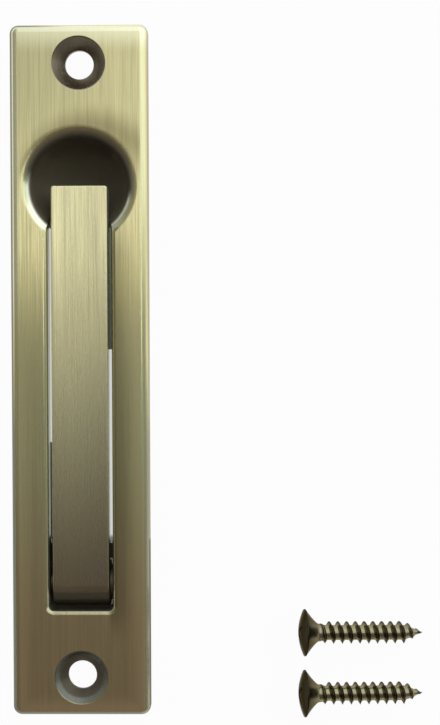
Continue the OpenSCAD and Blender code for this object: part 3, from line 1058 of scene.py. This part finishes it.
def screw_rings(sizes):
    """Rings of a screw along +Z from its crown, and how dull each point is.

    The crown is a dome less the cross recess, the rim is half an ellipse, and the head flares to the neck by a
    power curve. Below it, radius = core + height * ridge ** RIDGE_POWER: the ridge is a triangle wave of
    s / pitch - angle / 2 pi, and the core and the height taper to nothing at the point.
    """
    head_r, thread_r, root_r = sizes.head_d / 2, sizes.thread_d / 2, sizes.root_d / 2
    crown_r = (head_r ** 2 + sizes.crown_h ** 2) / (2 * sizes.crown_h)
    rim_s = sizes.crown_h + sizes.rim_h
    tip_s = sizes.crown_h + sizes.length
    point_s = tip_s - sizes.point_l
    angle = np.linspace(0, 2 * math.pi, sizes.sides, endpoint=False)[None, :]

    crown = np.linspace(CROWN_STEP, head_r - RIM_ROUND, CROWN_RINGS)[:, None]
    dome_s = crown_r - np.sqrt(crown_r ** 2 - crown ** 2)
    recess = cross_recess(sizes, crown * np.cos(angle), crown * np.sin(angle))
    rim_t = np.linspace(-math.pi / 2, math.pi / 2, RIM_RINGS)[1:, None]
    rim_low = dome_s[-1, 0]
    rim_r = head_r - RIM_ROUND + (RIM_ROUND - RIM_ROOM) * np.cos(rim_t)
    rim_at = (rim_low + rim_s) / 2 + (rim_s - rim_low) / 2 * np.sin(rim_t)
    flare = np.linspace(0, 1, FLARE_RINGS)[1:, None]
    flare_r = NECK_R + (head_r - RIM_ROUND - NECK_R) * (1 - flare) ** FLARE_POWER
    flare_s = rim_s + FLARE_L * flare

    neck_s = rim_s + FLARE_L
    body_s = np.arange(neck_s + BODY_STEP, tip_s - BODY_STEP / 2, BODY_STEP)[:, None]
    point = smooth_step(body_s, point_s - POINT_LEAD, tip_s + POINT_LEAD)
    core = (root_r + (NECK_R - root_r) * (1 - smooth_step(body_s, neck_s, neck_s + RUN_IN))) * (1 - point)
    envelope = thread_r * np.clip((tip_s - body_s) / sizes.point_l, 0, 1)
    core = np.minimum(core, CORE_SHARE * envelope)
    crest = np.minimum(thread_r, envelope) - CREST_ROOM
    height = np.maximum(crest - core, 0) * smooth_step(body_s, neck_s, neck_s + RUN_IN)
    turn = (body_s / sizes.pitch - angle / (2 * math.pi) + THREAD_PHASE) % 1
    ridge = np.clip(1 - np.abs(turn - 0.5) / RIDGE_HALF, 0, 1)
    body_r = core + height * ridge ** RIDGE_POWER

    def stacked(*parts):
        return np.vstack([np.broadcast_to(part, (len(part), sizes.sides)) for part in parts])

    radius = stacked(crown, rim_r, flare_r, body_r)
    along = stacked(dome_s + recess, rim_at, flare_s, body_s)
    head_dull = np.ones((len(crown) + len(rim_r), sizes.sides))
    # The crests of the thread are dull as painted shade; the head is dull with patina
    dull = stacked(head_dull, FLARE_DULL[0] + FLARE_DULL[1] * flare, ridge * (height > 0))
    rings = np.stack([radius * np.cos(angle), radius * np.sin(angle), along], axis=-1)
    return rings, dull, np.array([0, 0, sizes.recess_depth]), np.array([0, 0, tip_s])


def lay_screw(points, sizes, row):
    """Points of a screw laid on the floor: turned down from +Z to +X, tilted onto its point and moved to its row."""
    head_r, thread_r = sizes.head_d / 2, sizes.thread_d / 2
    rim_s = sizes.crown_h + sizes.rim_h
    point_s = sizes.crown_h + sizes.length - sizes.point_l
    tilt = math.atan((head_r - thread_r) / (point_s - rim_s))
    fall, turn = math.pi / 2 + tilt, sizes.turn
    about_y = np.array([[math.cos(fall), 0, math.sin(fall)], [0, 1, 0], [-math.sin(fall), 0, math.cos(fall)]])
    about_z = np.array([[math.cos(turn), -math.sin(turn), 0], [math.sin(turn), math.cos(turn), 0], [0, 0, 1]])
    crown = np.array([
        PLATE_HIGH[0] + sizes.beside,
        PLATE_LOW[1] + sizes.row_y - row * sizes.row_pitch,
        FLOOR_Z + rim_s * math.sin(tilt) + head_r * math.cos(tilt),
    ])
    return points @ (about_z @ about_y).T + crown


class EDGEPULL_OT_face_plate(Operator):
    """Dress the face plate in brushed antique brass, dark in its scoop and countersinks"""

    bl_idname = "edge_pull.face_plate"
    bl_label = "Face Plate"

    def execute(self, context):
        finish = context.scene.edge_pull_brass
        material = brushed_brass("plate_brass", finish, finish.relieved, finish.roughness, plate_covers)
        dressed_node("faceplate", "plate", material)
        return {"FINISHED"}


class EDGEPULL_OT_pull_arm(Operator):
    """Dress the pull arm in brushed antique brass"""

    bl_idname = "edge_pull.pull_arm"
    bl_label = "Pull Arm"

    def execute(self, context):
        finish = context.scene.edge_pull_brass
        material = brushed_brass("arm_brass", finish, finish.arm_relieved, finish.arm_roughness, arm_covers)
        dressed_node("pull_arm", "arm", material)
        return {"FINISHED"}


class EDGEPULL_OT_hinge_pin(Operator):
    """Dress the hinge pin in dulled brass"""

    bl_idname = "edge_pull.hinge_pin"
    bl_label = "Hinge Pin"

    def execute(self, context):
        finish = context.scene.edge_pull_brass
        material = brushed_brass("pin_brass", finish, finish.relieved, finish.roughness, pin_covers)
        dressed_node("hinge_pin", "plate", material)
        return {"FINISHED"}


class EDGEPULL_OT_return_spring(Operator):
    """Wind the return spring, with its leg on the plate and its hooked end in the arm"""

    bl_idname = "edge_pull.return_spring"
    bl_label = "Return Spring"

    def execute(self, context):
        sizes = context.scene.edge_pull_spring
        line, side, radius = spring_path(sizes)
        mesh = swept_wire("return_spring_wire", line + HINGE, side, radius, sizes.sides)
        piece = place_piece("return_spring_wire", mesh, spring_steel(sizes))
        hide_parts("return_spring")
        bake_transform(piece)
        return {"FINISHED"}


class EDGEPULL_OT_wood_screws(Operator):
    """Cut the two wood screws that lie beside the plate, with their threads and cross recesses"""

    bl_idname = "edge_pull.wood_screws"
    bl_label = "Wood Screws"

    def execute(self, context):
        sizes = context.scene.edge_pull_screws
        rings, dull, crown, tip = screw_rings(sizes)
        material = screw_brass(sizes)
        for row, name in enumerate(SCREW_NAMES):
            poles = lay_screw(np.stack([crown, tip]), sizes, row)
            mesh = closed_tube(name, lay_screw(rings, sizes, row), *poles)
            patina_and_shade = mesh.attributes.new(DULL_ATTRIBUTE, "FLOAT", "POINT")
            patina_and_shade.data.foreach_set("value", np.append(dull.ravel(), (1.0, 0.0)).astype(np.float32))
            piece = place_piece(name, mesh, material)
            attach(piece, "plate")
            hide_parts("wood_screws")
        return {"FINISHED"}


def floor_material(stage):
    """Pale floor: mostly white to the lens and in reflections, with the rest lit so that it takes a shadow.

    Little light gets under the slot and none under the hinge block, so the white falls off there.
    """
    material, tree, place = new_material("pale_floor")
    x, y = axes_of(tree, place)[:2]
    below = product(tree, ramp(tree, calc(tree, "ABSOLUTE", x), *SHADE_X),
                    ramp(tree, y, *SHADE_TOP_Y), ramp(tree, y, *SHADE_END_Y))
    block = ramp(tree, y, *SHADE_BLOCK_Y)
    shade = product(tree, below, calc(tree, "MULTIPLY_ADD", block, 1 - stage.slot_shade, stage.slot_shade))
    rays = shader(tree, "ShaderNodeLightPath").outputs
    seen = largest(tree, rays["Is Camera Ray"], rays["Is Glossy Ray"], rays["Is Transmission Ray"])
    lit = shader(tree, "ShaderNodeBsdfDiffuse", {"Color": shade_of(stage.floor_colour)})
    glow = shader(tree, "ShaderNodeEmission", {"Color": WHITE, "Strength": 1.0})
    share = product(tree, seen, stage.floor_glow, calc(tree, "SUBTRACT", 1.0, shade))
    surface = shader(tree, "ShaderNodeMixShader", {0: share, 1: lit.outputs[0], 2: glow.outputs[0]})
    shader(tree, "ShaderNodeOutputMaterial", {"Surface": surface.outputs[0]})
    return material


def floor_mesh(size):
    """Round floor: rings of points at radii that grow by squares, in the plane that the pull lies on."""
    radius = (size / 2 * np.linspace(FLOOR_START, 1, FLOOR_RINGS) ** 2)[:, None]
    angle = np.linspace(0, 2 * math.pi, FLOOR_SIDES, endpoint=False)[None, :]
    rings = np.stack(np.broadcast_arrays(radius * np.cos(angle), radius * np.sin(angle), FLOOR_Z), axis=-1)
    quads = ring_quads(FLOOR_RINGS, FLOOR_SIDES)[:, ::-1]
    mesh = bpy.data.meshes.new("floor")
    mesh.from_pydata(rings.reshape(-1, 3).tolist(), [], [*quads.tolist(), list(range(FLOOR_SIDES))])
    return mesh


def light_dome(stage):
    """Dome of light with a soft panel overhead: bright to the scoop end and the right, dark to the hinge end.

    Each change is a smooth step of one part of the direction, and two small soft lamps are added to the panel.
    Below the panel the dome is white, and grey over the horizon of the hinge end.
    """
    world = bpy.data.worlds.new("studio_dome")
    world.use_nodes = True
    tree = world.node_tree
    tree.nodes.clear()

    def combined(operation, inputs):
        return shader(tree, "ShaderNodeVectorMath", inputs, operation=operation).outputs

    way = shader(tree, "ShaderNodeTexCoord").outputs["Generated"]
    x, y, z = axes_of(tree, way)
    flag = mixed(tree, ramp(tree, y, *FAR_Y), shade_of(stage.near_flag), shade_of(stage.far_flag))
    sky = mixed(tree, ramp(tree, x, *SKY_X), shade_of(stage.left_sky), shade_of(stage.right_sky))
    slanted = calc(tree, "MULTIPLY_ADD", calc(tree, "MINIMUM", x, SLANT_END_X), -SLANT, y)
    edge = mixed(tree, ramp(tree, slanted, *AMBER_Y), sky, shade_of(stage.amber))
    panel = mixed(tree, ramp(tree, slanted, *STEP_Y), edge, flag)
    left = calc(tree, "MULTIPLY_ADD", ramp(tree, x, *LEFT_X), stage.left_gain - 1, 1.0)
    right = mixed(tree, ramp(tree, x, *RIGHT_X), WHITE, shade_of(stage.right_gain))
    top = mixed(tree, ramp(tree, y, *TOP_Y), WHITE, shade_of(stage.top_gain))
    gain = combined("MAXIMUM", {0: right, 1: top})[0]
    lit = combined("MULTIPLY", {0: panel, 1: gain})[0]
    lit = combined("SCALE", {0: lit, "Scale": left})[0]
    for place, spread, level in (
        (LAMP_WAY, LAMP_SPREAD, stage.lamp_level),
        (RIGHT_LAMP_WAY, RIGHT_LAMP_SPREAD, stage.right_lamp_level),
    ):
        off = combined("DISTANCE", {0: way, 1: (*place, 1.0)})["Value"]
        lamp = product(tree, ramp(tree, off, spread, 0.0), level)
        lit = combined("ADD", {0: lit, 1: lamp})[0]
    near = product(tree, ramp(tree, y, *NEAR_Y), ramp(tree, z, *NEAR_Z))
    colour = mixed(tree, ramp(tree, z, *HIGH_Z), mixed(tree, near, WHITE, NEAR_GREY), lit)
    light = shader(tree, "ShaderNodeBackground", {"Color": colour, "Strength": 1.0})
    shader(tree, "ShaderNodeOutputWorld", {"Surface": light.outputs[0]})
    return world


class EDGEPULL_OT_stage(Operator):
    """Set the camera, the pale floor and the soft light"""

    bl_idname = "edge_pull.stage"
    bl_label = "Stage"

    def execute(self, context):
        scene = context.scene
        stage = scene.edge_pull_stage
        lens = bpy.data.cameras.new("camera")
        lens.sensor_width = SENSOR_W
        lens.lens = stage.lens
        lens.clip_start = CLIP_START
        camera = bpy.data.objects.new("camera", lens)
        camera.location = stage.camera_place
        camera.rotation_euler = stage.camera_turn
        scene.collection.objects.link(camera)
        scene.camera = camera
        place_piece("floor", floor_mesh(stage.floor_size), floor_material(stage))
        scene.world = light_dome(stage)
        scene.view_settings.view_transform = "Standard"
        return {"FINISHED"}


class EDGEPULL_PT_pull(Panel):
    """Steps that dress the edge pull"""

    bl_idname = "EDGEPULL_PT_pull"
    bl_label = "Edge Pull"
    bl_space_type = "VIEW_3D"
    bl_region_type = "UI"
    bl_category = "Edge Pull"

    def draw(self, context):
        for step in STEPS:
            self.layout.operator(step.bl_idname)


SETTINGS = {
    "edge_pull_brass": BrassFinish,
    "edge_pull_spring": SpringSizes,
    "edge_pull_screws": ScrewSizes,
    "edge_pull_stage": StageSettings,
}
STEPS = (
    EDGEPULL_OT_face_plate,
    EDGEPULL_OT_pull_arm,
    EDGEPULL_OT_hinge_pin,
    EDGEPULL_OT_return_spring,
    EDGEPULL_OT_wood_screws,
    EDGEPULL_OT_stage,
)
CLASSES = (*SETTINGS.values(), *STEPS, EDGEPULL_PT_pull)


def register():
    """Add the classes and hang each group of settings on the scene."""
    for made in CLASSES:
        bpy.utils.register_class(made)
    for name, group in SETTINGS.items():
        setattr(bpy.types.Scene, name, PointerProperty(type=group))


def unregister():
    """Take the settings and the classes away again."""
    for name in SETTINGS:
        delattr(bpy.types.Scene, name)
    for made in reversed(CLASSES):
        bpy.utils.unregister_class(made)


def main():
    """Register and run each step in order."""
    register()
    bpy.ops.edge_pull.face_plate()
    bpy.ops.edge_pull.pull_arm()
    bpy.ops.edge_pull.hinge_pin()
    bpy.ops.edge_pull.return_spring()
    bpy.ops.edge_pull.wood_screws()
    bpy.ops.edge_pull.stage()
    bpy.context.view_layer.update()


if __name__ == "__main__":
    main()
